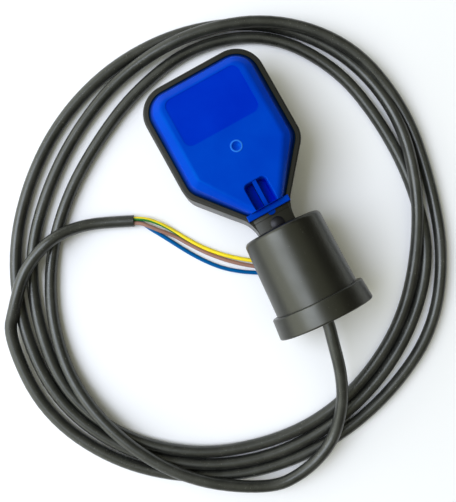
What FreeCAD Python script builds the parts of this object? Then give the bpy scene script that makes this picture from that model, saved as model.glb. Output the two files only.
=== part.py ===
import FreeCAD, Part
import math
import os

# Float level switch on a 3 m lead, with a counterweight that slides along the lead.
# A black tub with a neck and a blue lid form the float.  Inside, a steel ball rolls
# along a cage and trips a snap switch.  Millimetres, +Z up.  The pieces are drawn
# along the float's own axis (+Y to its wide end, the counterweight's face at y = 0)
# and then laid down as they rest: on the counterweight's collar and the float's
# far lower edge, with the lead coiled round them on the same surface.

# Float
HALF_WIDTH = 40.7
FAR_END = 111.6
NECK_HALF_WIDTH = 12.0
NECK_END = -2.4
FAR_CORNER = 18.5
SHOULDER_CORNER = 16.0
NECK_CORNER = 22.0
SHOULDER_Y = 42.9
NECK_CORNER_Y = 8.7
BELLY_Z = -21.0
BELLY_START_Y = 46.0
NECK_BELLY_Z = -12.2
NECK_BELLY_Y = 14.0
BELLY_ROUNDING = 7.0
RIM_Z = 13.0
RIM_ROUNDING = 1.2
NECK_TOP_Z = 11.0
NECK_STEP_Z = 12.2
NECK_STEP_Y = 8.3
WALL = 3.0

# Lid: levels of its form are (inset, height, half width where it meets the bar)
LID_INSET = 3.9
LID_GAP = 0.45
LID_LEDGE = 0.5
LID_SEAT_Z = 9.0
SEAL_THICKNESS = 0.8
LID_FOOT_AT_BAR = 12.0
LID_WALL_TOP = (7.2, 18.0, 10.0)
LID_WALL_ROUNDING = 0.8
PLATEAU_Z = 21.0
PLATEAU_INSET = 11.8
PLATEAU_AT_BAR = 8.3
PLATEAU_ROUNDING = 5.0
LID_THICKNESS = 2.4
PANEL = (50.4, 32.0, 5.0, 83.0)
PANEL_DEPTH = 0.25
DIMPLE = (1.1, 54.3)
DIMPLE_R = 2.9
DIMPLE_RING = 0.85
DIMPLE_RISE = 0.25
DIMPLE_DEPTH = 0.9
BAR_HALF_LENGTH = 14.2
BAR_Y = (10.7, 14.6)
BAR_TOP_Z = 17.0
BAR_ROUNDING = 0.6
POCKET_HALF_WIDTH = 7.35
POCKET_DRAFT = 1.1
POCKET_END_Y = 31.2
POCKET_FLOOR_Z = 12.6
POCKET_FLARE = 0.4
RIB_HALF_WIDTH = 1.25
TAB_X = 0.9
TAB_HALF_WIDTH = 2.4
KNOB = (0.9, 2.3)
KNOB_R = 4.3

# Cable and what holds it
CABLE_R = 3.9
CORE_R = 1.3
CORE_OFFSETS = {"yellow_green": (1.38, 0.8), "brown": (-1.38, 0.8), "blue": (0.0, -1.59)}
CABLE_INNER_END = 24.0
STRAIGHT_END = -48.0
LEAD_BEND_Y = -62.6
CORE_EXIT_LENGTH = 4.0
GLAND_R = 7.0
GLAND_Y = (5.0, 19.5)
CLAMP_Y = (20.6, 25.0)
CLAMP_HALF_WIDTH = 11.0

# Snap switch, ball and cage
SWITCH_HALF_LENGTH = 13.9
SWITCH_Y = (44.0, 59.9)
SWITCH_HALF_THICKNESS = 5.15
SWITCH_SCREW_X = 11.1
SWITCH_SCREW_Y = 47.0
PIVOT = (-12.0, 61.4)
PIN_R = 0.6
LEVER_RISE = 6.0
LEVER_THICKNESS = 0.4
LEVER_TIP_X = 15.0
PLUNGER_X = 0.0
PLUNGER_R = 1.5
TERMINAL_X = {"brown": -9.0, "blue": 0.0, "yellow_green": 9.0}
TERMINAL_END_Y = 36.0
BALL_R = 7.0
BALL_X = 5.0
CAGE_Y = (66.2, 103.2)
CAGE_R = 7.2
CAGE_WALL = 1.7
CARRIER_HALF_WIDTH = 22.5
CARRIER_Y = (43.0, 107.0)
CARRIER_THICKNESS = 2.5
CARRIER_SCREWS = [(x, y) for x in (-18.5, 18.5) for y in (64.0, 102.0)]
SCREW_R = 1.5

# Counterweight, which lies a little askew on the lead
WEIGHT_SPOT = (2.57, -0.06)
WEIGHT_TURN = -2.9
WEIGHT_TOP_R = 25.6
WEIGHT_SKIRT_R = 27.0
WEIGHT_SHOULDER_Y = -49.6
COLLAR_TOP_R = 30.4
COLLAR_R = 31.4
COLLAR_END = -63.2
COLLAR_ROUNDING = 1.0
JACKET_WALL = 3.0
TOP_WALL = 7.4
TOP_ROUNDING = 3.0
RECESS_R = 21.0
RECESS_DEPTH = 4.4
SLEEVE_R = 11.3
SLEEVE_END = -34.0
SEAT_TOP_R = 9.2
SEAT_END = -17.5
BORE_R = 7.2
SKIRT_END = -56.8
SLUG_END = -33.5
HOLLOW_R = 15.0
GRIP_Y = (-17.0, -4.9)
GRIP_RADII = (5.1, 6.2)

# Lead outside: route of the middle of the cable as it lies, in the finished frame
LEAD_ROUTE = [(-4.1, -101.5, 31.2), (-8.5, -120.4, 27.2), (-15.2, -137.8, 20.6),
              (-25.9, -153.0, 14.4), (-38.2, -163.3, 11.9)]
TAIL_ROUTE = [(-143.6, 38.2, 12.5), (-128.5, 42.1, 12.3), (-113.6, 41.8, 7.0),
              (-97.2, 36.6, 3.9), (-78.4, 27.2, 3.9)]
CORE_ROUTES = {
    "yellow_green": [(-69.3, 23.1, 4.2), (-63.9, 16.8, 2.8), (-59.1, 9.5, 1.3),
                     (-54.5, 1.2, 1.3), (-48.7, -8.0, 1.3), (-40.9, -17.7, 1.3),
                     (-31.1, -27.2, 1.3), (-20.3, -35.4, 1.3), (-10.5, -43.4, 1.3)],
    "brown": [(-71.6, 19.6, 4.6), (-66.5, 13.3, 3.9), (-60.4, 5.6, 1.6),
              (-54.9, -4.3, 1.3), (-47.5, -15.2, 1.3), (-38.6, -25.5, 1.3),
              (-28.2, -33.9, 1.3), (-17.9, -41.7, 1.3), (-8.6, -48.9, 1.3)],
    "blue": [(-72.1, 18.4, 1.5), (-68.0, 11.5, 1.3), (-63.1, 2.6, 1.3),
             (-58.1, -6.6, 1.3), (-51.4, -17.4, 1.3), (-42.6, -28.4, 1.3),
             (-31.8, -37.4, 1.3), (-20.0, -44.6, 1.3), (-9.7, -52.9, 1.3)],
}

# Coil: distance of the cable's middle from the coil's centre at each clock station,
# from where the lead lands to where the tail leaves, and so on for each turn
COIL_CENTRE = (-34.2, -23.8)
COIL_FIRST_ANGLE = 251.0
STATIONS_PER_TURN = 18
COIL_RADII = [
    152.0,
    146.0, 138.0, 132.0, 124.0, 117.0, 113.0, 114.0, 124.0, 139.5,
    147.5, 141.0, 131.0, 128.0, 130.0, 127.5, 127.0, 129.5, 134.5,
    139.5, 145.0, 147.5, 143.5, 141.5, 140.0, 142.5, 146.5, 151.0,
    155.0, 152.5, 142.5, 127.5, 121.0, 119.5, 119.0, 122.0, 125.0,
    131.5, 137.5, 140.0, 133.5, 130.5, 127.0, 129.5, 138.0, 145.5,
    155.0, 157.0, 150.0, 141.0, 139.0, 141.0, 137.5, 138.0, 142.0,
    147.5, 154.0, 158.5, 153.0,
]
COIL_HEIGHT = 4.0 * CABLE_R


def vec(x, y, z=0.0):
    return FreeCAD.Vector(x, y, z)


def box(x, y, z):
    """A box from three (low, high) pairs."""
    corner = vec(x[0], y[0], z[0])
    return Part.makeBox(x[1] - x[0], y[1] - y[0], z[1] - z[0], corner)


def rod(x, y, z, r):
    """A round bar along Z, z being its (low, high) ends."""
    return Part.makeCylinder(r, z[1] - z[0], vec(x, y, z[0]))


def rod_y(x, z, y, r):
    """A round bar along Y, y being its (low, high) ends."""
    return Part.makeCylinder(r, y[1] - y[0], vec(x, y[0], z), vec(0, 1, 0))


def rounded_wire(corners, z):
    """A closed flat wire at height z through (x, y, radius) corners."""
    points = [vec(x, y, z) for x, y, _ in corners]
    edges = []
    start = None
    for i, (_, _, radius) in enumerate(corners):
        here = points[i]
        back = (points[i - 1] - here).normalize()
        ahead = (points[(i + 1) % len(points)] - here).normalize()
        if radius:
            half = back.getAngle(ahead) / 2
            cut = radius / math.tan(half)
            middle = here + (back + ahead).normalize() * (radius / math.sin(half) - radius)
            arc_in, arc_out = here + back * cut, here + ahead * cut
            bend = [Part.Arc(arc_in, middle, arc_out).toShape()]
        else:
            arc_in = arc_out = here
            bend = []
        if start is None:
            first_in = arc_in
        else:
            edges.append(Part.LineSegment(start, arc_in).toShape())
        edges += bend
        start = arc_out
    edges.append(Part.LineSegment(start, first_in).toShape())
    return Part.Wire(edges)


def outline(inset, z):
    """The float's outline as seen from above, moved inwards by inset."""
    half = [(NECK_HALF_WIDTH, NECK_END, 0.0), (NECK_HALF_WIDTH, NECK_CORNER_Y, NECK_CORNER),
            (HALF_WIDTH, SHOULDER_Y, SHOULDER_CORNER), (HALF_WIDTH, FAR_END, FAR_CORNER)]
    corners = half + [(-x, y, r) for x, y, r in reversed(half)]
    wire = rounded_wire(corners, z)
    return wire.makeOffset2D(-inset, 2) if inset else wire


def slab(inset, z_low, z_high):
    """An upright prism of the float's outline."""
    return Part.Face(outline(inset, z_low)).extrude(vec(0, 0, z_high - z_low))


def side_profile(points, half_width=60.0):
    """A (y, z) polygon seen from the side, stretched across the float."""
    wire = Part.makePolygon([vec(-half_width, y, z) for y, z in points + points[:1]])
    return Part.Face(wire).extrude(vec(2 * half_width, 0, 0))


def edges_where(shape, test):
    """The edges of a shape whose ends all pass a test."""
    return [e for e in shape.Edges if all(test(v.Point) for v in e.Vertexes)]


def turned(points):
    """A solid of revolution about the Y axis from (radius, y) points."""
    wire = Part.makePolygon([vec(r, y) for r, y in points + points[:1]])
    return Part.Face(wire).revolve(vec(0, 0, 0), vec(0, 1, 0), 360)


def tube_path(points):
    """Straight runs joined by arcs as large as the runs allow, and the arcs' radii."""
    points = [vec(*p) for p in points]
    edges = []
    radii = []
    start = points[0]
    for before, here, after in zip(points, points[1:], points[2:]):
        back = (before - here).normalize()
        ahead = (after - here).normalize()
        half_turn = (math.pi - back.getAngle(ahead)) / 2
        reach = 0.45 * min(before.distanceToPoint(here), here.distanceToPoint(after))
        radius = reach / math.tan(half_turn)
        centre_side = (back + ahead).normalize()
        middle = here + centre_side * (radius / math.cos(half_turn) - radius)
        edges.append(Part.LineSegment(start, here + back * reach).toShape())
        edges.append(Part.Arc(here + back * reach, middle, here + ahead * reach).toShape())
        start = here + ahead * reach
        radii.append(radius)
    edges.append(Part.LineSegment(start, points[-1]).toShape())
    return Part.Wire(edges), radii


def tube(name, points, radius):
    """A round solid along a path; prints its bends and its true volume share."""
    path, radii = tube_path(points)
    direction = vec(*points[1]) - vec(*points[0])
    ring = Part.Wire(Part.makeCircle(radius, vec(*points[0]), direction))
    solid = path.makePipeShell([ring], True, False)
    share = solid.Volume / (math.pi * radius ** 2 * path.Length)
    bends = " ".join("%.0f" % r for r in radii)
    print("%s: length %.1f, bends %s, volume share %.4f" % (name, path.Length, bends, share))
    return solid


# Float shells

def float_block():
    """The tub's outer form, before it is hollowed."""
    belly = [(NECK_END, NECK_BELLY_Z), (NECK_BELLY_Y, NECK_BELLY_Z), (BELLY_START_Y, BELLY_Z),
             (FAR_END, BELLY_Z), (FAR_END, RIM_Z), (BAR_Y[0], RIM_Z),
             (BAR_Y[0], NECK_STEP_Z), (NECK_STEP_Y, NECK_STEP_Z),
             (NECK_STEP_Y, NECK_TOP_Z), (NECK_END, NECK_TOP_Z)]
    block = slab(0.0, BELLY_Z, RIM_Z)
    block = block.makeFillet(BELLY_ROUNDING, edges_where(block, lambda p: p.z < BELLY_Z + 0.1))
    block = block.makeFillet(RIM_ROUNDING, edges_where(block, lambda p: p.z > RIM_Z - 0.1))
    return block.common(side_profile(belly))


def housing_body():
    """Black tub with the neck, the lid's seat, screw bosses and the cable's saddle."""
    tub = float_block()
    floor = [(NECK_BELLY_Y + 6, NECK_BELLY_Z + WALL), (BELLY_START_Y, BELLY_Z + WALL),
             (FAR_END, BELLY_Z + WALL), (FAR_END, RIM_Z + 1), (NECK_BELLY_Y + 6, RIM_Z + 1)]
    flange_z = LID_SEAT_Z - 4.0
    hollow = slab(WALL, BELLY_Z, flange_z).common(side_profile(floor))
    mouth = slab(LID_INSET + LID_THICKNESS, flange_z, RIM_Z + 1).common(side_profile(floor))
    tub = tub.cut(hollow).cut(mouth)
    seat = Part.Face(lid_level(LID_INSET - LID_GAP, LID_SEAT_Z, LID_FOOT_AT_BAR + LID_GAP))
    tub = tub.cut(seat.extrude(vec(0, 0, RIM_Z)))
    tub = tub.cut(crossbar(0.1))
    for x, y in CARRIER_SCREWS:
        boss = rod(x, y, (BELLY_Z + 1, carrier_low()), 3.5)
        tub = tub.fuse(boss).cut(rod(x, y, (carrier_low() - 7, carrier_low()), SCREW_R))
    saddle = box((-CLAMP_HALF_WIDTH, CLAMP_HALF_WIDTH), CLAMP_Y, (NECK_BELLY_Z, 0.0))
    tub = tub.fuse(saddle)
    for x in (-7.6, 7.6):
        tub = tub.cut(rod(x, sum(CLAMP_Y) / 2, (-8.0, 0.0), SCREW_R))
    tub = tub.cut(rod_y(0, 0, (NECK_END - 1, CLAMP_Y[1] + 1), CABLE_R + 0.05))
    tub = tub.cut(rod_y(0, 0, (GLAND_Y[0], NECK_BELLY_Y + 7), GLAND_R))
    return tub.cut(rod(*KNOB, (GLAND_R + 0.3, NECK_TOP_Z), 2.5))


def crossbar(clearance):
    """The bar that ends the lid at the neck."""
    half = BAR_HALF_LENGTH + clearance
    return box((-half, half), (BAR_Y[0] - clearance, BAR_Y[1] + clearance),
               (LID_SEAT_Z + SEAL_THICKNESS - clearance, BAR_TOP_Z))


def lid_level(inset, z, at_bar):
    """The lid's outline at one height: straight from the bar to the shoulders."""
    run, rise = HALF_WIDTH - NECK_HALF_WIDTH, SHOULDER_Y - NECK_CORNER_Y
    shoulder_y = SHOULDER_Y + inset * (math.hypot(run, rise) - rise) / run
    half = [(at_bar, BAR_Y[1] - 1.0, 0.0),
            (HALF_WIDTH - inset, shoulder_y, SHOULDER_CORNER - inset),
            (HALF_WIDTH - inset, FAR_END - inset, FAR_CORNER - inset)]
    return rounded_wire(half + [(-x, y, r) for x, y, r in reversed(half)], z)


def lid_form(extra, floor_z):
    """The lid's stepped form; extra moves it inwards and down for the inner side."""
    foot_inset, foot_z = LID_INSET + LID_LEDGE + extra, RIM_Z - extra
    wall_inset, wall_z, wall_at_bar = LID_WALL_TOP
    levels = [lid_level(foot_inset, foot_z, LID_FOOT_AT_BAR - LID_LEDGE - extra),
              lid_level(wall_inset + extra, wall_z - extra, wall_at_bar - extra),
              lid_level(PLATEAU_INSET + extra, PLATEAU_Z - extra, PLATEAU_AT_BAR - extra)]
    form = Part.makeLoft(levels, True, True)
    base = Part.Face(lid_level(LID_INSET + extra, floor_z, LID_FOOT_AT_BAR - extra))
    return form, base.extrude(vec(0, 0, foot_z - floor_z))


def rounded_box(half_x, y, z, corner):
    """An upright block with rounded upright edges, about the float's middle line."""
    corners = [(half_x, y[0], corner), (half_x, y[1], corner),
               (-half_x, y[1], corner), (-half_x, y[0], corner)]
    return Part.Face(rounded_wire(corners, z[0])).extrude(vec(0, 0, z[1] - z[0]))


def lid_crown():
    """The lid's wall and plateau with their edges rounded."""
    form, base = lid_form(0.0, LID_SEAT_Z + SEAL_THICKNESS)
    ahead_of_bar = BAR_Y[1] - 0.5
    for height, rounding in ((PLATEAU_Z, PLATEAU_ROUNDING), (LID_WALL_TOP[1], LID_WALL_ROUNDING)):
        loop = [e for e in form.Edges if e.BoundBox.ZLength < 0.01
                and abs(e.BoundBox.ZMin - height) < 0.01 and e.BoundBox.YMax > ahead_of_bar]
        form = form.makeFillet(rounding, loop)
    return base.fuse(form)


def pocket_form():
    """The hollow behind the bar, narrower at its floor and flared at its rim."""
    flare_z = PLATEAU_Z - POCKET_FLARE
    wires = []
    for z, grow in ((POCKET_FLOOR_Z, -POCKET_DRAFT), (flare_z, 0.0),
                    (PLATEAU_Z + POCKET_FLARE, 2 * POCKET_FLARE)):
        half, end = POCKET_HALF_WIDTH + grow, POCKET_END_Y + grow
        corners = [(half, BAR_Y[1], 0.0), (half, end, 3.0), (-half, end, 3.0), (-half, BAR_Y[1], 0.0)]
        wires.append(rounded_wire(corners, z))
    return Part.makeLoft(wires, True, True)


def cover():
    """Blue lid: raised plateau, bare panel, gate mark, ribbed pocket, bar and tab."""
    low = LID_SEAT_Z + SEAL_THICKNESS
    shell = lid_crown().common(box((-60, 60), (BAR_Y[1] - 0.1, FAR_END), (0, 30)))
    inside, mouth = lid_form(LID_THICKNESS, low - 1)
    hollow = inside.fuse(mouth).common(box((-60, 60), (BAR_Y[1] + 2, FAR_END), (0, 30)))
    wall = rounded_box(POCKET_HALF_WIDTH + 1.8, (BAR_Y[1], POCKET_END_Y + 1.8),
                       (low + 0.4, PLATEAU_Z), 1.5)
    lid = shell.cut(hollow.cut(wall)).cut(pocket_form())
    bar = crossbar(0.0)
    lid = lid.fuse(bar.makeFillet(BAR_ROUNDING, edges_where(bar, lambda p: p.z > BAR_TOP_Z - 0.1)))
    rib_floor = POCKET_FLOOR_Z - 0.5
    rib = side_profile([(BAR_Y[1] - 1, rib_floor), (POCKET_END_Y + 0.5, rib_floor),
                        (POCKET_END_Y + 0.5, PLATEAU_Z - 0.8), (BAR_Y[1] - 1, BAR_TOP_Z - 0.7)],
                       RIB_HALF_WIDTH)
    tab = rounded_box(TAB_HALF_WIDTH, (NECK_STEP_Y + 0.1, BAR_Y[0] + 3),
                      (NECK_STEP_Z, BAR_TOP_Z - 1.8), 2.0)
    lid = lid.fuse([rib, tab.translated(vec(TAB_X, 0))]).removeSplitter()
    width, length, corner, middle = PANEL
    panel = rounded_box(width / 2, (middle - length / 2, middle + length / 2),
                        (PLATEAU_Z - PANEL_DEPTH, PLATEAU_Z + 1), corner)
    top = PLATEAU_Z + DIMPLE_RISE
    ring = rod(*DIMPLE, (PLATEAU_Z - 1, top), DIMPLE_R + DIMPLE_RING)
    ring = ring.makeFillet(0.2, edges_where(ring, lambda p: p.z > PLATEAU_Z))
    dish_r = (DIMPLE_R ** 2 + DIMPLE_DEPTH ** 2) / (2 * DIMPLE_DEPTH)
    dish = Part.makeSphere(dish_r, vec(*DIMPLE, top - DIMPLE_DEPTH + dish_r))
    return lid.cut(panel).fuse(ring).cut(dish).removeSplitter()


def cover_seal():
    """Rubber gasket between the tub's seat and the lid's edge."""
    outer = Part.Face(lid_level(LID_INSET + 0.05, LID_SEAT_Z, LID_FOOT_AT_BAR - 0.05))
    inner = slab(LID_INSET + LID_THICKNESS, LID_SEAT_Z - 1, LID_SEAT_Z + 2)
    inside = box((-60, 60), (BAR_Y[1] + 2, FAR_END), (0, 30))
    whole = box((-60, 60), (BAR_Y[1] + 0.1, FAR_END), (0, 30))
    outer = outer.extrude(vec(0, 0, SEAL_THICKNESS))
    return outer.common(whole).cut(inner.common(inside))


def neck_plug():
    """Domed plug pressed into the top of the neck."""
    dome_r = 9.0
    top = NECK_TOP_Z + 3.4
    head = rod(*KNOB, (NECK_TOP_Z, top), KNOB_R)
    dome = Part.makeSphere(dome_r, vec(*KNOB, top - dome_r))
    return head.common(dome).fuse(rod(*KNOB, (GLAND_R + 0.3, NECK_TOP_Z), 2.5))


def cable_gland():
    """Rubber bush round the cable in the neck."""
    return rod_y(0, 0, GLAND_Y, GLAND_R - 0.02).cut(rod_y(0, 0, GLAND_Y, CABLE_R + 0.02))


def cable_clamp():
    """Bar that holds the cable down on its saddle."""
    bar = box((-CLAMP_HALF_WIDTH, CLAMP_HALF_WIDTH), CLAMP_Y, (0.1, 5.6))
    bar = bar.cut(rod_y(0, 0, CLAMP_Y, CABLE_R + 0.02))
    for x in (-7.6, 7.6):
        bar = bar.cut(rod(x, sum(CLAMP_Y) / 2, (0, 6), SCREW_R + 0.1))
    return bar


def screw(x, y, seat_z, length):
    """A pan head screw that points down."""
    head = rod(x, y, (seat_z, seat_z + 1.8), 2.8)
    head = head.makeFillet(0.7, edges_where(head, lambda p: p.z > seat_z + 1.7))
    shank = rod(x, y, (seat_z - length, seat_z), SCREW_R - 0.02)
    cross = box((x - 1.6, x + 1.6), (y - 0.35, y + 0.35), (seat_z + 1.0, seat_z + 2))
    return head.fuse(shank).cut(cross).cut(cross.rotated(vec(x, y, 0), vec(0, 0, 1), 90))


def screws(places, seat_z, length):
    return Part.makeCompound([screw(x, y, seat_z, length) for x, y in places])


# Switch and ball

def carrier_low():
    return -SWITCH_HALF_THICKNESS - CARRIER_THICKNESS


def cage_ring(z_low, z_high):
    """The part of the ball's tube that lies between two heights, its far end closed."""
    y = (CAGE_Y[0], CAGE_Y[1] + CAGE_WALL)
    ring = rod_y(BALL_X, 0, y, CAGE_R + CAGE_WALL).cut(rod_y(BALL_X, 0, CAGE_Y, CAGE_R))
    return ring.common(box((-30, 30), y, (z_low, z_high)))


def switch_carrier():
    """Moulded tray with the lower half of the ball's tube."""
    top = carrier_low() + CARRIER_THICKNESS
    tray = rounded_box(CARRIER_HALF_WIDTH, CARRIER_Y, (carrier_low(), top), 3.0)
    tray = tray.cut(rod_y(BALL_X, 0, (SWITCH_Y[1] + 2, CAGE_Y[1]), CAGE_R))
    tray = tray.fuse(cage_ring(-CAGE_R - CAGE_WALL, 0.0))
    for x, y in CARRIER_SCREWS:
        tray = tray.cut(rod(x, y, (-20, 0), SCREW_R + 0.1))
    for x in (-SWITCH_SCREW_X, SWITCH_SCREW_X):
        tray = tray.cut(rod(x, SWITCH_SCREW_Y, (-20, 0), SCREW_R))
    return tray.removeSplitter()


def cage_cover():
    """Upper half of the ball's tube."""
    return cage_ring(0.05, CAGE_R + CAGE_WALL)


def microswitch_body():
    """Snap switch case with its screw holes, plunger guide and lever ears."""
    case = box((-SWITCH_HALF_LENGTH, SWITCH_HALF_LENGTH), SWITCH_Y,
               (-SWITCH_HALF_THICKNESS, SWITCH_HALF_THICKNESS))
    case = case.makeChamfer(0.6, edges_where(case, lambda p: p.z > 0))
    for x in (-SWITCH_SCREW_X, SWITCH_SCREW_X):
        case = case.cut(rod(x, SWITCH_SCREW_Y, (-10, 10), SCREW_R + 0.1))
    guide = (SWITCH_Y[1] - 5.2, SWITCH_Y[1] + 1)
    case = case.cut(rod_y(PLUNGER_X, 0, guide, PLUNGER_R + 0.05))
    for z in (-4.4, 3.4):
        x = (PIVOT[0] - 1.6, PIVOT[0] + 1.6)
        ear = box(x, (SWITCH_Y[1] - 0.5, PIVOT[1]), (z, z + 1.0))
        ear = ear.fuse(rod(PIVOT[0], PIVOT[1], (z, z + 1.0), 1.6))
        case = case.fuse(ear)
    return case.cut(rod(PIVOT[0], PIVOT[1], (-5, 5), PIN_R)).removeSplitter()


def lever_pin():
    return rod(PIVOT[0], PIVOT[1], (-4.4, 4.4), PIN_R)


def switch_lever():
    """Sheet metal lever with a rolled eye round its pin."""
    eye = rod(PIVOT[0], PIVOT[1], (-3.0, 3.0), 1.2)
    blade = box((PIVOT[0], LEVER_TIP_X), (PIVOT[1] + 0.8, PIVOT[1] + 0.8 + LEVER_THICKNESS),
                (-2.6, 2.6))
    lever = eye.fuse(blade).cut(rod(PIVOT[0], PIVOT[1], (-4, 4), PIN_R + 0.05))
    return lever.rotated(vec(PIVOT[0], PIVOT[1]), vec(0, 0, 1), LEVER_RISE)


def blade_under_y(x):
    """Height of the lever's underside over the plunger, at rest."""
    rise = math.radians(LEVER_RISE)
    return PIVOT[1] + 0.8 / math.cos(rise) + (x - PIVOT[0]) * math.tan(rise)


def switch_plunger():
    """Domed pin that the lever presses into the switch."""
    tip = blade_under_y(PLUNGER_X) - 0.2
    pin = rod_y(PLUNGER_X, 0, (SWITCH_Y[1] - 3.6, tip), PLUNGER_R)
    return pin.makeFillet(0.9, edges_where(pin, lambda p: p.y > tip - 0.1))


def steel_ball():
    return Part.makeSphere(BALL_R, vec(BALL_X, CAGE_Y[1] - BALL_R - 0.05, 0))


def terminal(core):
    """Push-on tab under the switch."""
    x = TERMINAL_X[core]
    tab = box((x - 2.4, x + 2.4), (TERMINAL_END_Y, SWITCH_Y[0]), (-0.4, 0.4))
    return tab.cut(rod(x, TERMINAL_END_Y + 3.2, (-1, 1), 0.8))


def inner_core(core):
    """Insulated core from the end of the cable to its tab."""
    x0, z0 = CORE_OFFSETS[core]
    x1 = TERMINAL_X[core]
    start = (x0, CABLE_INNER_END + 0.05, z0)
    route = [start, (x0, CABLE_INNER_END + 3.5, z0), (x1, TERMINAL_END_Y - 3.5, 0.0),
             (x1, TERMINAL_END_Y - 0.05, 0.0)]
    return tube("inner_core_" + core, route, CORE_R)


# Counterweight

def weight_jacket():
    """Black tapered shell with a recess for the neck, central sleeve and cone seat."""
    inner_top_r = WEIGHT_TOP_R - JACKET_WALL
    inner_low_r = WEIGHT_SKIRT_R - JACKET_WALL
    shell = turned([(RECESS_R, 0), (WEIGHT_TOP_R, 0), (WEIGHT_SKIRT_R, WEIGHT_SHOULDER_Y),
                    (WEIGHT_SKIRT_R, SKIRT_END), (inner_low_r, SKIRT_END),
                    (inner_low_r, WEIGHT_SHOULDER_Y), (inner_top_r, -TOP_WALL),
                    (SLEEVE_R, -TOP_WALL), (SLEEVE_R, SLEEVE_END), (BORE_R, SLEEVE_END),
                    (BORE_R, SEAT_END), (SEAT_TOP_R, -RECESS_DEPTH), (RECESS_R, -RECESS_DEPTH)])
    top_edge = [e for e in shell.Edges if abs(e.BoundBox.YMax) < 0.01
                and e.BoundBox.YLength < 0.01 and e.BoundBox.XLength > 2 * WEIGHT_TOP_R - 1]
    return shell.makeFillet(TOP_ROUNDING, top_edge)


def weight_slug():
    """Cast iron ring that gives the weight."""
    inner = SLEEVE_R + 0.15
    top_r = WEIGHT_TOP_R - JACKET_WALL - 0.4
    return turned([(inner, -TOP_WALL - 0.1), (top_r, -TOP_WALL - 0.1), (top_r, SLUG_END),
                   (inner, SLUG_END)])


def weight_cap():
    """Collar that closes the jacket's lower end, with a stem up to the slug."""
    fit_r = WEIGHT_SKIRT_R + 0.05
    plate = (SKIRT_END - 0.1, SKIRT_END - 3.1)
    cap = turned([(HOLLOW_R, SLUG_END - 0.6), (HOLLOW_R + 2.5, SLUG_END - 0.6),
                  (HOLLOW_R + 2.5, plate[0]), (fit_r, plate[0]), (fit_r, WEIGHT_SHOULDER_Y - 0.05),
                  (COLLAR_TOP_R, WEIGHT_SHOULDER_Y - 0.05), (COLLAR_R, COLLAR_END),
                  (COLLAR_R - 3.0, COLLAR_END), (COLLAR_R - 3.0, plate[1]), (HOLLOW_R, plate[1])])
    rim = [e for e in cap.Edges if e.BoundBox.YLength < 0.01 and e.BoundBox.XLength > 2 * COLLAR_TOP_R - 1]
    return cap.makeFillet(COLLAR_ROUNDING, rim)


def cable_grip():
    """Split cone that wedges the weight on the cable."""
    bore = CABLE_R + 0.05
    cone = turned([(bore, GRIP_Y[1]), (GRIP_RADII[1], GRIP_Y[1]), (GRIP_RADII[1], GRIP_Y[1] - 2),
                   (GRIP_RADII[0], GRIP_Y[0]), (bore, GRIP_Y[0])])
    return cone.cut(box((-0.5, 0.5), (GRIP_Y[0] - 1, GRIP_Y[1] + 1), (0, 10)))


# Lead

def cable_inner():
    """Straight stretch of the cable through the neck and the counterweight."""
    return rod_y(0, 0, (STRAIGHT_END, CABLE_INNER_END), CABLE_R)


def coil_disc(radii):
    """A thick disc whose smooth edge passes through one radius for each clock station."""
    points = []
    for k, radius in enumerate(radii):
        angle = math.radians(COIL_FIRST_ANGLE - k * 360.0 / STATIONS_PER_TURN)
        points.append(vec(COIL_CENTRE[0] + radius * math.cos(angle),
                          COIL_CENTRE[1] + radius * math.sin(angle)))
    edge = Part.BSplineCurve()
    edge.interpolate(points, PeriodicFlag=True)
    return Part.Face(Part.Wire(edge.toShape())).extrude(vec(0, 0, COIL_HEIGHT))


def cable_coil():
    """Outer form of the loose coil: the space that its turns take, two layers high."""
    stations = [COIL_RADII[k::STATIONS_PER_TURN] for k in range(STATIONS_PER_TURN)]
    outer = coil_disc([max(s) + CABLE_R for s in stations])
    return outer.cut(coil_disc([min(s) - CABLE_R for s in stations]))


def core_exit(core):
    """The first two points of a core, straight out of the sheath's end."""
    end, before = vec(*TAIL_ROUTE[-1]), vec(*TAIL_ROUTE[-2])
    along = (end - before).normalize()
    across, up = CORE_OFFSETS[core]
    start = end + along * 0.05 + vec(-along.y, along.x) * across + vec(0, 0, up)
    return [tuple(start), tuple(start + along * CORE_EXIT_LENGTH)]


# Resting pose

def lowest(angle, y, z, rounding):
    """Lowest point of a rounded corner after the switch is tilted by an angle."""
    return y * math.sin(angle) + z * math.cos(angle) - rounding


def rest_tilt():
    """Tilt at which the collar and the float's far edge touch the surface together."""
    low, high = 0.0, math.radians(10)
    collar_y = WEIGHT_SPOT[1] + (COLLAR_END + COLLAR_ROUNDING) * math.cos(math.radians(WEIGHT_TURN))
    for _ in range(60):
        middle = (low + high) / 2
        collar = lowest(-middle, collar_y, -COLLAR_R + COLLAR_ROUNDING, COLLAR_ROUNDING)
        belly = lowest(-middle, FAR_END - BELLY_ROUNDING,
                       BELLY_Z + BELLY_ROUNDING, BELLY_ROUNDING)
        if belly > collar:
            low = middle
        else:
            high = middle
    return math.degrees(low)


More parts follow.
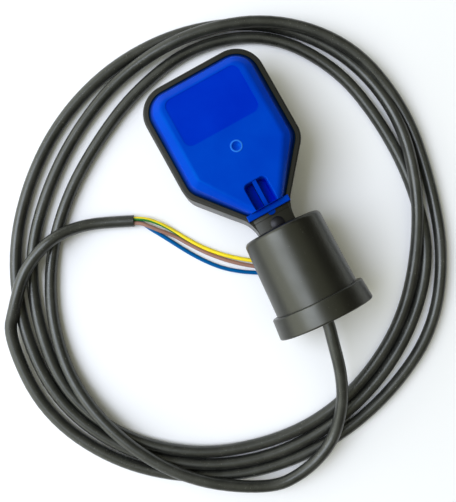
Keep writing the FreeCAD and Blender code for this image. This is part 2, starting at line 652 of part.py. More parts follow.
def switch_parts():
    """Every piece of the float and the counterweight, drawn along the float's axis."""
    carrier_top = carrier_low() + CARRIER_THICKNESS
    clamp_places = [(x, sum(CLAMP_Y) / 2) for x in (-7.6, 7.6)]
    switch_places = [(x, SWITCH_SCREW_Y) for x in (-SWITCH_SCREW_X, SWITCH_SCREW_X)]
    parts = {
        "housing_body": housing_body(),
        "cover": cover(),
        "cover_seal": cover_seal(),
        "neck_plug": neck_plug(),
        "cable_gland": cable_gland(),
        "cable_clamp": cable_clamp(),
        "clamp_screws": screws(clamp_places, 5.6, 12.0),
        "switch_carrier": switch_carrier(),
        "carrier_screws": screws(CARRIER_SCREWS, carrier_top, 8.0),
        "cage_cover": cage_cover(),
        "microswitch_body": microswitch_body(),
        "switch_screws": screws(switch_places, SWITCH_HALF_THICKNESS, 12.0),
        "lever_pin": lever_pin(),
        "switch_lever": switch_lever(),
        "switch_plunger": switch_plunger(),
        "steel_ball": steel_ball(),
        "weight_jacket": weight_jacket(),
        "weight_slug": weight_slug(),
        "weight_cap": weight_cap(),
        "cable_grip": cable_grip(),
        "cable_inner": cable_inner(),
    }
    askew = FreeCAD.Placement(vec(*WEIGHT_SPOT), FreeCAD.Rotation(vec(0, 0, 1), WEIGHT_TURN))
    for name in ("weight_jacket", "weight_slug", "weight_cap"):
        parts[name].Placement = askew
    for core in CORE_OFFSETS:
        parts["terminal_" + core] = terminal(core)
        parts["inner_core_" + core] = inner_core(core)
    return parts


def lead_parts(first_points):
    """The lead outside the counterweight, as it lies, from its first two points."""
    parts = {
        "cable_lead": tube("cable_lead", first_points + LEAD_ROUTE, CABLE_R),
        "cable_coil": cable_coil(),
        "cable_tail": tube("cable_tail", TAIL_ROUTE, CABLE_R),
    }
    for core, route in CORE_ROUTES.items():
        name = "core_" + core
        parts[name] = tube(name, core_exit(core) + route, CORE_R)
    return parts


def laid_down(tilt, parts):
    """The placement that sets the switch on the surface, centred over the origin."""
    turn = FreeCAD.Placement(vec(0, 0, 0), FreeCAD.Rotation(vec(1, 0, 0), -tilt))
    bounds = FreeCAD.BoundBox()
    for name in ("housing_body", "cover", "weight_jacket", "weight_cap"):
        shape = parts[name].copy()
        shape.Placement = turn.multiply(shape.Placement)
        bounds.add(shape.optimalBoundingBox(False))
    shift = vec(0, -bounds.Center.y, -bounds.ZMin)
    return FreeCAD.Placement(shift, turn.Rotation)


def main():
    os.makedirs("parts", exist_ok=True)
    tilt = rest_tilt()
    parts = switch_parts()
    place = laid_down(tilt, parts)
    for name, shape in parts.items():
        shape.Placement = place.multiply(shape.Placement)
    first_points = [tuple(place.multVec(vec(0, y, 0))) for y in (STRAIGHT_END, LEAD_BEND_Y)]
    parts.update(lead_parts(first_points))
    for name, shape in parts.items():
        if not shape.isValid():
            print("not valid:", name)
        shape.exportStep("parts/%s.step" % name)
        b = shape.BoundBox
        print("%-26s solids %d  x %.1f %.1f  y %.1f %.1f  z %.1f %.1f  cm3 %.2f"
              % (name, len(shape.Solids), b.XMin, b.XMax, b.YMin, b.YMax, b.ZMin, b.ZMax,
                 shape.Volume / 1000))
    print("tilt %.3f degrees" % tilt)
    for label, point in (("switch zero", vec(0, 0, 0)), ("lever pivot", vec(*PIVOT)),
                         ("cable end", vec(0, STRAIGHT_END, 0)),
                         ("lead bend", vec(0, LEAD_BEND_Y, 0))):
        print(label, place.multVec(point))
    for label, axis in (("along float", vec(0, 1, 0)), ("lever axis", vec(0, 0, 1))):
        print(label, place.Rotation.multVec(axis))


main()
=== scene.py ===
import math

import bpy
import bmesh
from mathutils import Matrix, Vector


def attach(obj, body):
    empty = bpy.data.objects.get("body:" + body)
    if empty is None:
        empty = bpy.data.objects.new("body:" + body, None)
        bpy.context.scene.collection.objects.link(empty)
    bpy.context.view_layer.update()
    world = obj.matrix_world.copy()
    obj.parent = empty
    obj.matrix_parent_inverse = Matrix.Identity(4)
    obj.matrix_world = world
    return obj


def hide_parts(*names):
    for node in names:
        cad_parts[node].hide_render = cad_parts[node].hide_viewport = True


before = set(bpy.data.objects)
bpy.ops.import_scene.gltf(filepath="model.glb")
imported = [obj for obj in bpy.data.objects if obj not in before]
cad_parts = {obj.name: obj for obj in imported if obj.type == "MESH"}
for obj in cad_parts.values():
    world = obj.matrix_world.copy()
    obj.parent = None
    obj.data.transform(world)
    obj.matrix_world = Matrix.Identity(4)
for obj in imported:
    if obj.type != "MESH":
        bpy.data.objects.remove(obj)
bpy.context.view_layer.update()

# Float level switch: the cable, its cores, the crown of the neck, the materials, the
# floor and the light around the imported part. Everything is in the frame of that part:
# +Y along the float to its wide end, +Z up, the origin on the surface under the middle
# of float and weight. Lengths are in metres where a comment doesn't say millimetres.

MM = 0.001

# Camera: straight down, over a point beside the counterweight's inner end
CAMERA_SPOT = (-0.0337, -0.0203)
CAMERA_HEIGHT = 0.430
CAMERA_TURN = math.radians(29.0)
LENS = 46.2

# Cable and cores: thicknesses, length, steps of a spline between two control points,
# steps of its round section, and the height in millimetres of a cable that lies flat
CABLE_D = 7.8 * MM
CORE_D = 2.6 * MM
SPLINE_STEPS = 8
BEVEL_STEPS = 5
FLOOR_Z = 3.9

# Route of the cable's middle as it lies, in millimetres: out of the counterweight,
# down over the coil, and at the other end up over the coil and in to the sheath's end
LEAD_ROUTE = [(0.0, -71.2, 30.5), (0.0, -85.8, 31.4), (-4.1, -101.5, 31.2),
              (-8.5, -120.4, 27.2), (-15.2, -137.8, 20.6), (-25.9, -153.0, 14.4),
              (-38.2, -163.3, 11.9), (-59.3, -170.3, 11.0)]
TAIL_ROUTE = [(-172.7, 15.3, 11.0), (-158.3, 30.0, 13.0), (-143.6, 38.2, 12.5),
              (-128.5, 42.1, 12.3), (-113.6, 41.8, 7.0), (-97.2, 36.6, 3.9),
              (-78.4, 27.2, 3.9)]

# Routes of the cores after their straight exit, in millimetres
CORE_ROUTES = {
    "yellow_green": [(-69.3, 23.1, 4.2), (-63.9, 16.8, 2.8), (-59.1, 9.5, 1.3),
                     (-54.5, 1.2, 1.3), (-48.7, -8.0, 1.3), (-40.9, -17.7, 1.3),
                     (-31.1, -27.2, 1.3), (-20.3, -35.4, 1.3), (-10.5, -43.4, 1.3)],
    "brown": [(-71.6, 19.6, 4.6), (-66.5, 13.3, 3.9), (-60.0, 5.9, 1.6),
              (-54.2, -3.8, 1.3), (-46.8, -14.6, 1.3), (-38.0, -24.9, 1.3),
              (-28.2, -33.9, 1.3), (-17.9, -41.7, 1.3), (-8.6, -48.9, 1.3)],
    "blue": [(-72.1, 18.4, 1.5), (-68.0, 11.5, 1.3), (-63.1, 2.6, 1.3),
             (-58.1, -6.6, 1.3), (-51.4, -17.4, 1.3), (-42.6, -28.4, 1.3),
             (-31.8, -37.4, 1.3), (-20.0, -44.6, 1.3), (-9.7, -52.9, 1.3)],
}

# Each core's place in the sheath's end (to the side, up), how far inside the sheath it
# starts, and its straight run out of it, in millimetres
CORE_OFFSETS = {"yellow_green": (1.38, 0.8), "brown": (-1.38, 0.8), "blue": (0.0, -1.59)}
CORE_SUNK = 0.6
CORE_EXIT_LENGTH = 4.0

# Green stripe on the earth core: the sides of the tube, the stripe's share of them, and
# the stripe's start and its turn per metre
STRIPE_SIDES = 20
STRIPE_SHARE = 0.35
STRIPE_START = math.radians(-22.0)
STRIPE_TWIST = math.radians(-1500.0)

# Coil, in millimetres and degrees: its centre, the first station's angle and the step
# to the next, clockwise from above; the cable's distance from the centre at each
# station, the first alone and then a row for each half turn; and its height at the
# stations where it doesn't lie on the floor
COIL_CENTRE = (-34.2, -23.8)
COIL_FIRST_ANGLE = 251.0
STATION_STEP = 20.0
COIL_RADII = [
    152.0,
    146.0, 138.0, 132.0, 124.0, 117.0, 113.0, 114.0, 124.0, 139.5,
    147.5, 141.0, 131.0, 128.0, 130.0, 127.5, 127.0, 129.5, 134.5,
    139.5, 145.0, 147.5, 143.5, 141.5, 140.0, 142.5, 146.5, 151.0,
    155.0, 152.5, 142.5, 127.5, 121.0, 119.5, 119.0, 122.0, 125.0,
    131.5, 137.5, 140.0, 133.5, 130.5, 127.0, 129.5, 138.0, 145.5,
    155.0, 157.0, 148.8, 139.2, 139.4, 141.0, 137.5, 138.0, 142.0,
    147.5, 154.0, 158.5, 153.0,
]
COIL_HEIGHTS = {0: 10.0, 1: 12.6, 2: 12.0, 3: 7.2,
                30: 7.5, 31: 14.0, 32: 6.5,
                44: 5.5, 45: 13.0, 46: 12.6, 47: 10.8, 48: 5.0,
                58: 6.0}

# The float's own axes: their origin and the float's tilt as it rests
FLOAT_Y, FLOAT_Z = -0.0233157, 0.0274756
TILT = math.radians(3.564)

# Crown on the two steps of the neck's flat top, in millimetres in the float's axes: each
# strip's start and end along the float and the height of its step
CROWN_STRIPS = [(-2.2, 8.3, 11.0), (8.3, 10.6, 12.2)]
CROWN_HALF_WIDTH = 11.7
CROWN_RISE = 1.35
CROWN_SUNK = 0.4
CROWN_STEPS = 24

# Marks on the lid, placed in the frame, with heights in the float's axes. The panel: its
# middle, half sizes, corner radius and soft edge. The foot of the wall: the heights between
# which its painted shade fades out. The pocket, where shade is painted: half widths of its
# rib and of itself, its two ends along the float, the height a little below the plateau
# where the painted shade ends, and the share of that height up to which it is full. The
# gate mark: its middle, the distance that the stops of its ring's painted highlight are
# shares of, and those stops.
PANEL = (0.0, 0.06083, 0.0252, 0.01597, 0.005)
PANEL_EDGE = 0.15 * MM
FOOT_SHADE_HEIGHTS = (0.0132, 0.0178)
POCKET = ((0.0014, 0.0074), (0.0077, -0.0088), 0.0195)
POCKET_SHADE_FULL = 0.8
GATE_MARK = (0.0011, 0.0322)
GATE_REACH = 0.006
GATE_HIGHLIGHT_STOPS = [(0.0, 0.0), (0.45, 0.0), (0.53, 1.0), (0.60, 1.0), (0.66, 0.0)]

# Tones of the lid, in linear colour; a share says how far a tone covers what is under it
PLATEAU_TONES = ((0.0002, 0.034, 0.42), (0.0003, 0.042, 0.45))
PANEL_TONES = ((0.0002, 0.015, 0.41), (0.0003, 0.020, 0.44))
# Painted highlight on the gate mark's ring
RING_HIGHLIGHT_TONE, RING_HIGHLIGHT_SHARE = (0.04, 0.26, 0.80), 0.55
# Painted shade at the foot of the lid's wall
FOOT_SHADE_TONE, FOOT_SHADE_SHARE = (0.0, 0.002, 0.02), 0.92
# Painted shade in the pocket
POCKET_SHADE_TONE = (0.0002, 0.002, 0.42)
SPECK_TONE, SPECK_SHARE = (0.05, 0.25, 0.7), 0.6
LID_TINT = (0.0, 0.80, 1.0)
LID_GLOSS = 0.13

# Window: its slant from straight above in degrees, distance, size, power and colour
WINDOW_SLANT = 34.0
WINDOW_DISTANCE = 1.3
WINDOW_SIZE = (0.8, 0.9)
WINDOW_POWER = 14.3
WINDOW_COLOUR = (0.77, 0.82, 1.0)

# Room: its colours towards the window, away from it and above. The walls brighten over
# the first range, of a direction's part towards the window, and turn into the ceiling
# over the second, of its part upwards.
WINDOW_SIDE = (2.40, 2.45, 2.25)
ROOM_SIDE = (0.12, 0.11, 0.08)
CEILING = (0.56, 0.56, 0.43)
WALLS_BRIGHTEN = (-0.15, 1.0)
CEILING_STARTS = (0.55, 0.93)

# Floor: half its side
FLOOR_HALF = 3.0

# Sockets of a Mix node that mixes colours, and the shader's inputs by short names
FACTOR, COLOUR_A, COLOUR_B, COLOUR_OUT = 0, 6, 7, 2
SHADER_INPUTS = {"color": "Base Color", "rough": "Roughness", "normal": "Normal",
                 "metal": "Metallic", "specular": "Specular IOR Level",
                 "tint": "Specular Tint"}


def metres(point):
    """A point given in millimetres, in metres."""
    return tuple(c * MM for c in point)


def add_object(name, data):
    """A new object in the scene."""
    made = bpy.data.objects.new(name, data)
    bpy.context.scene.collection.objects.link(made)
    return made


def add_mesh(name, mesh):
    """A new object made from a bmesh, which is freed."""
    data = bpy.data.meshes.new(name)
    mesh.to_mesh(data)
    mesh.free()
    return add_object(name, data)


# Camera, cords and crown

def make_camera():
    """The photograph's camera, straight above the table."""
    data = bpy.data.cameras.new("camera")
    data.lens = LENS
    camera = add_object("camera", data)
    camera.location = (*CAMERA_SPOT, CAMERA_HEIGHT)
    camera.rotation_euler = (0, 0, -CAMERA_TURN)
    bpy.context.scene.camera = camera


def coil_points():
    """The coil's turns as control points, a little outside the line that they pull."""
    overshoot = 1.0 / math.cos(math.radians(STATION_STEP / 2))
    points = []
    for k, radius in enumerate(COIL_RADII):
        angle = math.radians(COIL_FIRST_ANGLE - k * STATION_STEP)
        reach = radius * overshoot
        points.append((COIL_CENTRE[0] + reach * math.cos(angle),
                       COIL_CENTRE[1] + reach * math.sin(angle),
                       COIL_HEIGHTS.get(k, FLOOR_Z)))
    return points


def core_exit(core):
    """The first two points of a core, straight out of the sheath's end."""
    end, before = Vector(TAIL_ROUTE[-1]), Vector(TAIL_ROUTE[-2])
    along = (end - before).normalized()
    across, up = CORE_OFFSETS[core]
    start = end + Vector((-along.y, along.x, 0)) * across + Vector((0, 0, up))
    return [tuple(start - along * CORE_SUNK), tuple(start + along * CORE_EXIT_LENGTH)]


def spline_curve(name, points, diameter):
    """A round cord on one smooth spline through its control points, in millimetres."""
    curve = bpy.data.curves.new(name, "CURVE")
    curve.dimensions = "3D"
    spline = curve.splines.new("NURBS")
    spline.points.add(len(points) - 1)
    for control, point in zip(spline.points, points):
        control.co = (*metres(point), 1.0)
        control.radius = diameter / 2
    spline.order_u = 3
    spline.use_endpoint_u = True
    spline.resolution_u = SPLINE_STEPS
    curve.bevel_depth = 1.0
    curve.bevel_resolution = BEVEL_STEPS
    curve.use_fill_caps = True
    return add_object(name, curve)


def spline_path(name, points, diameter):
    """The points that a cord's spline runs through, in metres."""
    guide = spline_curve(name + "_guide", points, diameter)
    guide.data.bevel_depth = 0.0
    bpy.context.view_layer.update()
    line = bpy.data.meshes.new_from_object(guide)
    path = [v.co.copy() for v in line.vertices]
    bpy.data.objects.remove(guide)
    bpy.data.meshes.remove(line)
    return path


def striped_tube(name, points, diameter):
    """A core with a green stripe that winds slowly round it; returns it and its path."""
    path = spline_path(name, points, diameter)
    mesh = bmesh.new()
    rings = []
    travelled = 0.0
    for i, here in enumerate(path):
        along = (path[min(i + 1, len(path) - 1)] - path[max(i - 1, 0)]).normalized()
        travelled += (here - path[i - 1]).length if i else 0.0
        side = along.cross(Vector((0, 0, 1))).normalized()
        over = side.cross(along)
        twist = STRIPE_START + STRIPE_TWIST * travelled
        ring = []
        for k in range(STRIPE_SIDES):
            angle = twist + 2 * math.pi * k / STRIPE_SIDES
            off = side * math.cos(angle) + over * math.sin(angle)
            ring.append(mesh.verts.new(here + off * diameter / 2))
        rings.append(ring)
    for low, high in zip(rings, rings[1:]):
        for k in range(STRIPE_SIDES):
            n = (k + 1) % STRIPE_SIDES
            face = mesh.faces.new((low[k], high[k], high[n], low[n]))
            face.smooth = True
            face.material_index = 1 if k < STRIPE_SIDES * STRIPE_SHARE else 0
    mesh.faces.new(rings[0])
    mesh.faces.new(rings[-1][::-1])
    bmesh.ops.recalc_face_normals(mesh, faces=mesh.faces)
    return add_mesh(name, mesh), [tuple(p) for p in path]


def make_cords():
    """The cable from the counterweight to the sheath's end, and the three cores."""
    cable = spline_curve("cable", LEAD_ROUTE + coil_points() + TAIL_ROUTE, CABLE_D)
    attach(cable, "float")
    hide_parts("cable_lead", "cable_coil", "cable_tail")
    made = {"cable": cable}
    for core, route in CORE_ROUTES.items():
        points = core_exit(core) + route
        name = "core_" + core + "_wire"
        path = None
        if core == "yellow_green":
            piece, path = striped_tube(name, points, CORE_D)
        else:
            piece = spline_curve(name, points, CORE_D)
        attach(piece, "float")
        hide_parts("core_" + core)
        made[core] = piece
    return made


def on_float(x, y, z):
    """A point given in millimetres in the float's axes, in the frame's metres."""
    return Vector((x * MM, FLOAT_Y + (y * math.cos(TILT) + z * math.sin(TILT)) * MM,
                   FLOAT_Z + (z * math.cos(TILT) - y * math.sin(TILT)) * MM))


def make_neck_crown():
    """The low rounded crown of the neck's stepped top, sunk a little into the CAD neck."""
    profile = []
    for k in range(CROWN_STEPS + 1):
        share = 2.0 * k / CROWN_STEPS - 1.0
        profile.append((share * CROWN_HALF_WIDTH, CROWN_RISE * (1.0 - share ** 2)))
    profile += [(CROWN_HALF_WIDTH, -CROWN_SUNK), (-CROWN_HALF_WIDTH, -CROWN_SUNK)]
    count = len(profile)
    mesh = bmesh.new()
    for start, end, top in CROWN_STRIPS:
        near, far = [[mesh.verts.new(on_float(x, y, top + z)) for x, z in profile]
                     for y in (start, end)]
        for k in range(count):
            n = (k + 1) % count
            face = mesh.faces.new((near[k], near[n], far[n], far[k]))
            face.smooth = k < CROWN_STEPS
        mesh.faces.new(near[::-1])
        mesh.faces.new(far)
    bmesh.ops.recalc_face_normals(mesh, faces=mesh.faces)
    for edge in mesh.edges:
        edge.smooth = all(face.smooth for face in edge.link_faces)
    piece = add_mesh("neck_crown", mesh)
    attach(piece, "float")
    return piece


# Materials

def add_node(tree, kind, links=(), **settings):
    """A new node with its settings, its inputs linked to a socket or set to a value."""
    made = tree.nodes.new(kind)
    for key, value in settings.items():
        setattr(made, key, value)
    for socket, source in dict(links).items():
        if hasattr(source, "is_output"):
            tree.links.new(source, made.inputs[socket])
        else:
            made.inputs[socket].default_value = source
    return made


class Shade:
    """A small helper for building a material's nodes."""

    def __init__(self, name):
        self.material = bpy.data.materials.new(name)
        self.material.use_nodes = True
        self.tree = self.material.node_tree
        self.shader = self.tree.nodes["Principled BSDF"]

    def node(self, kind, links=(), **settings):
        return add_node(self.tree, kind, links, **settings)

    def place(self):
        """Where a point of the surface is, in the frame's metres."""
        return self.node("ShaderNodeTexCoord").outputs["Object"]

    def axes(self):
        """The same place as three sockets, X, Y and Z."""
        return self.node("ShaderNodeSeparateXYZ", {"Vector": self.place()}).outputs

    def calc(self, operation, first, second=0.0):
        made = self.node("ShaderNodeMath", {0: first, 1: second}, operation=operation)
        return made.outputs[0]

    def length(self, x, y):
        """How long the flat vector from x and y is."""
        joined = self.node("ShaderNodeCombineXYZ", {"X": x, "Y": y}).outputs[0]
        made = self.node("ShaderNodeVectorMath", {0: joined}, operation="LENGTH")
        return made.outputs["Value"]

    def remap(self, source, low, high, from_low=0.0, from_high=1.0):
        """The source's range from_low to from_high, clamped and spread from low to high."""
        links = {"Value": source, "From Min": from_low, "From Max": from_high,
                 "To Min": low, "To Max": high}
        return self.node("ShaderNodeMapRange", links).outputs[0]

    def noise(self, scale, detail=3.0, rough=0.5):
        links = {"Vector": self.place(), "Scale": scale, "Detail": detail,
                 "Roughness": rough}
        return self.node("ShaderNodeTexNoise", links).outputs["Fac"]

    def patches(self, scale, low=0.0, high=1.0, spread=(0.35, 0.7), **grain):
        """Cloudy patches between two values; a narrow spread makes their edges clearer."""
        return self.remap(self.noise(scale, **grain), low, high, *spread)

    def specks(self, scale, start, full):
        """One on scattered specks, nought between them."""
        return self.ramp(self.noise(scale, detail=2.0),
                         [(0.0, 0.0), (start, 0.0), (full, 1.0)])

    def ramp(self, source, stops):
        made = self.node("ShaderNodeValToRGB", {"Fac": source})
        ramp = made.color_ramp
        while len(ramp.elements) < len(stops):
            ramp.elements.new(1.0)
        for element, (position, value) in zip(ramp.elements, stops):
            element.position = position
            element.color = (value, value, value, 1)
        return made.outputs["Color"]

    def mix(self, amount, low, high):
        """A colour from low to high; each is a socket or a linear colour."""
        low, high = [colour if hasattr(colour, "is_output") else (*colour, 1)
                     for colour in (low, high)]
        links = {FACTOR: amount, COLOUR_A: low, COLOUR_B: high}
        return self.node("ShaderNodeMix", links, data_type="RGBA").outputs[COLOUR_OUT]

    def bump(self, height, distance, strength, under=None):
        """The surface raised by up to a distance in metres, on top of another bump."""
        links = {"Height": height, "Distance": distance, "Strength": strength}
        if under:
            links["Normal"] = under
        return self.node("ShaderNodeBump", links).outputs[0]

    def set(self, **inputs):
        """Links or sets the shader's inputs, and returns the material."""
        for key, value in inputs.items():
            socket = self.shader.inputs[SHADER_INPUTS[key]]
            if hasattr(value, "is_output"):
                self.tree.links.new(value, socket)
            elif isinstance(value, tuple):
                socket.default_value = (*value, 1)
            else:
                socket.default_value = value
        return self.material


def srgb(r, g, b):
    """Linear colour from 0-255 display values."""
    def line(c):
        c /= 255
        return c / 12.92 if c <= 0.04045 else ((c + 0.055) / 1.055) ** 2.4
    return (line(r), line(g), line(b))


def moulded_black(name, colour, rough, gloss):
    """Black polypropylene: fine spark grain, slight cloudiness, dull smears and dust."""
    s = Shade(name)
    cloud = s.patches(90.0, detail=4.0)
    tone = s.mix(cloud, colour, tuple(c * 1.5 for c in colour))
    dust = s.remap(s.specks(900.0, 0.71, 0.77), 0.0, 0.35)
    tone = s.mix(dust, tone, srgb(120, 122, 116))
    grain = s.bump(s.noise(2600.0, detail=2.0), 0.03 * MM, 0.6)
    smear = s.patches(35.0, rough - 0.05, rough + 0.07, (0.3, 0.7), detail=5.0, rough=0.6)
    return s.set(color=tone, rough=smear, normal=grain, specular=gloss,
                 tint=(0.99, 1.0, 0.86))


def float_height(s, axes):
    """Height above the float's own middle plane, which is tilted as it rests."""
    along = s.calc("MULTIPLY", s.calc("SUBTRACT", axes["Y"], FLOAT_Y), math.sin(TILT))
    up = s.calc("MULTIPLY", s.calc("SUBTRACT", axes["Z"], FLOAT_Z), math.cos(TILT))
    return s.calc("ADD", along, up)


def panel_mask(s):
    """One inside the lid's rounded rectangular panel, nought outside."""
    x, y, half_x, half_y, corner = PANEL
    axes = s.axes()
    reach = []
    for axis, middle, half in (("X", x, half_x), ("Y", y, half_y)):
        off = s.calc("ABSOLUTE", s.calc("SUBTRACT", axes[axis], middle))
        reach.append(s.calc("MAXIMUM", s.calc("SUBTRACT", off, half - corner), 0.0))
    return s.remap(s.length(*reach), 1.0, 0.0, corner - PANEL_EDGE, corner + PANEL_EDGE)


def pocket_shade_mask(s, axes, height):
    """Painted shade: one in the pocket on both sides of its rib, fading out to the plateau.
    """
    (rib, half), (far, near), top = POCKET
    off = s.calc("ABSOLUTE", axes["X"])
    inside = s.calc("LESS_THAN", off, half)
    inside = s.calc("MULTIPLY", inside, s.calc("GREATER_THAN", off, rib))
    inside = s.calc("MULTIPLY", inside, s.calc("LESS_THAN", axes["Y"], far))
    inside = s.calc("MULTIPLY", inside, s.calc("GREATER_THAN", axes["Y"], near))
    return s.calc("MULTIPLY", inside, s.remap(height, 1.0, 0.0, POCKET_SHADE_FULL * top, top))


def gate_ring_highlight(s):
    """Painted highlight: one on the raised ring round the gate mark."""
    axes = s.axes()
    off = [s.calc("SUBTRACT", axes[axis], middle) for axis, middle in zip("XY", GATE_MARK)]
    return s.ramp(s.remap(s.length(*off), 0.0, 1.0, 0.0, GATE_REACH), GATE_HIGHLIGHT_STOPS)


def cover_blue(name):
    """Ultramarine moulding with its panel and fine specks; a painted highlight on the ring,
    painted shade at the wall's foot and in the pocket.
    """
    s = Shade(name)
    cloud = s.patches(60.0)
    tone = s.mix(panel_mask(s), s.mix(cloud, *PLATEAU_TONES), s.mix(cloud, *PANEL_TONES))
    # Painted highlight on the gate mark's ring
    tone = s.mix(s.remap(gate_ring_highlight(s), 0.0, RING_HIGHLIGHT_SHARE), tone, RING_HIGHLIGHT_TONE)
    axes = s.axes()
    height = float_height(s, axes)
    # Painted shade at the foot of the lid's wall, all round
    tone = s.mix(s.remap(height, FOOT_SHADE_SHARE, 0.0, *FOOT_SHADE_HEIGHTS), tone, FOOT_SHADE_TONE)
    # Painted shade in the pocket
    tone = s.mix(pocket_shade_mask(s, axes, height), tone, POCKET_SHADE_TONE)
    speck = s.remap(s.specks(1300.0, 0.78, 0.80), 0.0, SPECK_SHARE)
    tone = s.mix(speck, tone, SPECK_TONE)
    grain = s.bump(s.noise(1800.0, detail=2.0), 0.02 * MM, 0.35)
    waves = s.bump(s.noise(45.0, detail=2.0), 0.4 * MM, 0.25, grain)
    rough = s.patches(25.0, 0.26, 0.36, (0.3, 0.7), detail=4.0)
    return s.set(color=tone, rough=rough, normal=waves, specular=LID_GLOSS, tint=LID_TINT)


def cable_rubber(name):
    """Dark grey rubber sheath with a matt bloom, fine grain and specks of dust."""
    s = Shade(name)
    bloom = s.patches(70.0, spread=(0.4, 0.65), detail=4.0, rough=0.6)
    tone = s.mix(bloom, srgb(30, 31, 29), srgb(46, 47, 44))
    tone = s.mix(s.specks(1400.0, 0.68, 0.75), tone, srgb(130, 130, 120))
    grain = s.bump(s.noise(2200.0), 0.05 * MM, 0.5)
    rough = s.patches(40.0, 0.27, 0.40, (0.35, 0.65), detail=4.0, rough=0.6)
    return s.set(color=tone, rough=rough, normal=grain, specular=0.65,
                 tint=(0.97, 1.0, 0.93))


def plain(name, colour, rough, metal=0.0, gloss=0.5, tint=(1.0, 1.0, 1.0)):
    """A slightly cloudy, finely grained surface of one colour."""
    s = Shade(name)
    grain = s.bump(s.noise(1500.0, detail=2.0), 0.02 * MM, 0.4)
    tone = s.mix(s.patches(120.0), colour, tuple(c * 0.85 for c in colour))
    return s.set(color=tone, rough=rough, metal=metal, normal=grain, specular=gloss,
                 tint=tint)


def dress(node, material):
    """Gives a CAD node one material."""
    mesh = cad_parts[node].data
    mesh.materials.clear()
    mesh.materials.append(material)


def dress_all(cords, crown):
    """Makes the materials and gives them to the CAD nodes, the cords and the crown."""
    black = moulded_black("housing_plastic", srgb(7, 7, 9), 0.38, 0.42)
    clamp = moulded_black("clamp_plastic", srgb(7, 7, 9), 0.38, 0.42)
    weight = moulded_black("weight_plastic", srgb(6, 7, 7), 0.34, 0.68)
    blue = cover_blue("cover_plastic")
    rubber = cable_rubber("cable_sheath")
    seal = plain("seal_rubber", srgb(30, 30, 30), 0.7)
    natural = plain("natural_plastic", srgb(220, 218, 208), 0.45)
    steel = plain("zinc_steel", srgb(180, 180, 182), 0.3, metal=1.0)
    ball = plain("ball_steel", srgb(210, 210, 212), 0.12, metal=1.0)
    brass = plain("terminal_brass", srgb(212, 180, 100), 0.28, metal=1.0)
    iron = plain("slug_iron", srgb(70, 70, 70), 0.7, metal=0.6)
    case = plain("switch_case", srgb(50, 50, 54), 0.4)
    red = plain("plunger_plastic", srgb(170, 40, 30), 0.35)
    plug = plain("plug_plastic", srgb(14, 14, 20), 0.36, gloss=0.25)
    brown = plain("core_brown_plastic", srgb(150, 110, 95), 0.4)
    core_blue = plain("core_blue_plastic", srgb(0, 84, 146), 0.4, gloss=0.25,
                      tint=(0.1, 0.6, 1.0))
    yellow = plain("core_yellow_plastic", srgb(250, 226, 38), 0.4, gloss=0.3)
    green = plain("core_green_plastic", srgb(40, 130, 50), 0.4, gloss=0.3)
    looks = {
        "housing_body": black, "cable_clamp": clamp, "cover": blue, "neck_plug": plug,
        "weight_jacket": weight, "weight_cap": weight, "weight_slug": iron,
        "cable_inner": rubber, "cover_seal": seal, "cable_gland": seal,
        "switch_carrier": natural, "cage_cover": natural, "cable_grip": natural,
        "microswitch_body": case, "switch_plunger": red, "steel_ball": ball,
        "switch_lever": steel, "lever_pin": steel, "clamp_screws": steel,
        "carrier_screws": steel, "switch_screws": steel,
        "terminal_yellow_green": brass, "terminal_brown": brass, "terminal_blue": brass,
        "inner_core_yellow_green": yellow, "inner_core_brown": brown,
        "inner_core_blue": core_blue,
    }
    for node, material in looks.items():
        dress(node, material)
    crown.data.materials.append(black)
    cords["cable"].data.materials.append(rubber)
    cords["yellow_green"].data.materials.append(yellow)
    cords["yellow_green"].data.materials.append(green)
    cords["brown"].data.materials.append(brown)
    cords["blue"].data.materials.append(core_blue)


# Stage

def make_floor():
    """A large flat sheet of pale paper."""
    s = Shade("floor_paper")
    s.set(color=srgb(243, 244, 246), rough=0.8)
    mesh = bpy.data.meshes.new("floor")
    half = FLOOR_HALF
    corners = [(-half, -half, 0), (half, -half, 0), (half, half, 0), (-half, half, 0)]
    mesh.from_pydata(corners, [], [(0, 1, 2, 3)])
    mesh.materials.append(s.material)
    add_object("floor", mesh)


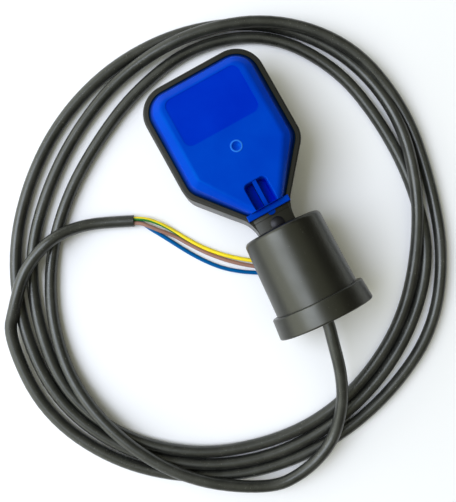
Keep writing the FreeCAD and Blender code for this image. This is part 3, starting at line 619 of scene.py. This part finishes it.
def area_light(name, place, target, size, power, colour):
    """A rectangular light that shines from a place to a target."""
    data = bpy.data.lights.new(name, "AREA")
    data.shape = "RECTANGLE"
    data.size, data.size_y = size
    data.energy = power
    data.color = colour
    light = add_object(name, data)
    light.location = place
    aim = Vector(target) - Vector(place)
    light.rotation_euler = aim.to_track_quat("-Z", "Y").to_euler()


def make_room(left):
    """A room: bright towards the window, dark on the other side, warm and pale above."""
    world = bpy.data.worlds.new("room")
    world.use_nodes = True
    tree = world.node_tree
    towards = add_node(tree, "ShaderNodeTexCoord").outputs["Generated"]
    side = add_node(tree, "ShaderNodeVectorMath", {0: towards, 1: tuple(left)},
                    operation="DOT_PRODUCT").outputs["Value"]
    height = add_node(tree, "ShaderNodeSeparateXYZ", {"Vector": towards}).outputs["Z"]
    lit, above = [
        add_node(tree, "ShaderNodeMapRange",
                 {"Value": source, "From Min": low, "From Max": high},
                 interpolation_type="SMOOTHSTEP").outputs[0]
        for source, (low, high) in ((side, WALLS_BRIGHTEN), (height, CEILING_STARTS))]
    walls = add_node(tree, "ShaderNodeMix", {FACTOR: lit, COLOUR_A: (*ROOM_SIDE, 1),
                                             COLOUR_B: (*WINDOW_SIDE, 1)},
                     data_type="RGBA").outputs[COLOUR_OUT]
    tone = add_node(tree, "ShaderNodeMix", {FACTOR: above, COLOUR_A: walls,
                                            COLOUR_B: (*CEILING, 1)},
                    data_type="RGBA").outputs[COLOUR_OUT]
    tree.links.new(tone, tree.nodes["Background"].inputs["Color"])
    bpy.context.scene.world = world


def make_lights():
    """Soft daylight from the left of the picture, and a room that is bright on that side."""
    left = Vector((-math.cos(CAMERA_TURN), math.sin(CAMERA_TURN), 0))
    middle = Vector((*CAMERA_SPOT, 0))
    slant = math.radians(WINDOW_SLANT)
    towards = left * math.sin(slant) + Vector((0, 0, math.cos(slant)))
    window = middle + WINDOW_DISTANCE * towards
    area_light("window", window, middle, WINDOW_SIZE, WINDOW_POWER, WINDOW_COLOUR)
    make_room(left)


# Making

make_camera()
cords = make_cords()
crown = make_neck_crown()
dress_all(cords, crown)
make_floor()
make_lights()
bpy.context.scene.view_settings.view_transform = "Standard"

bpy.context.view_layer.update()
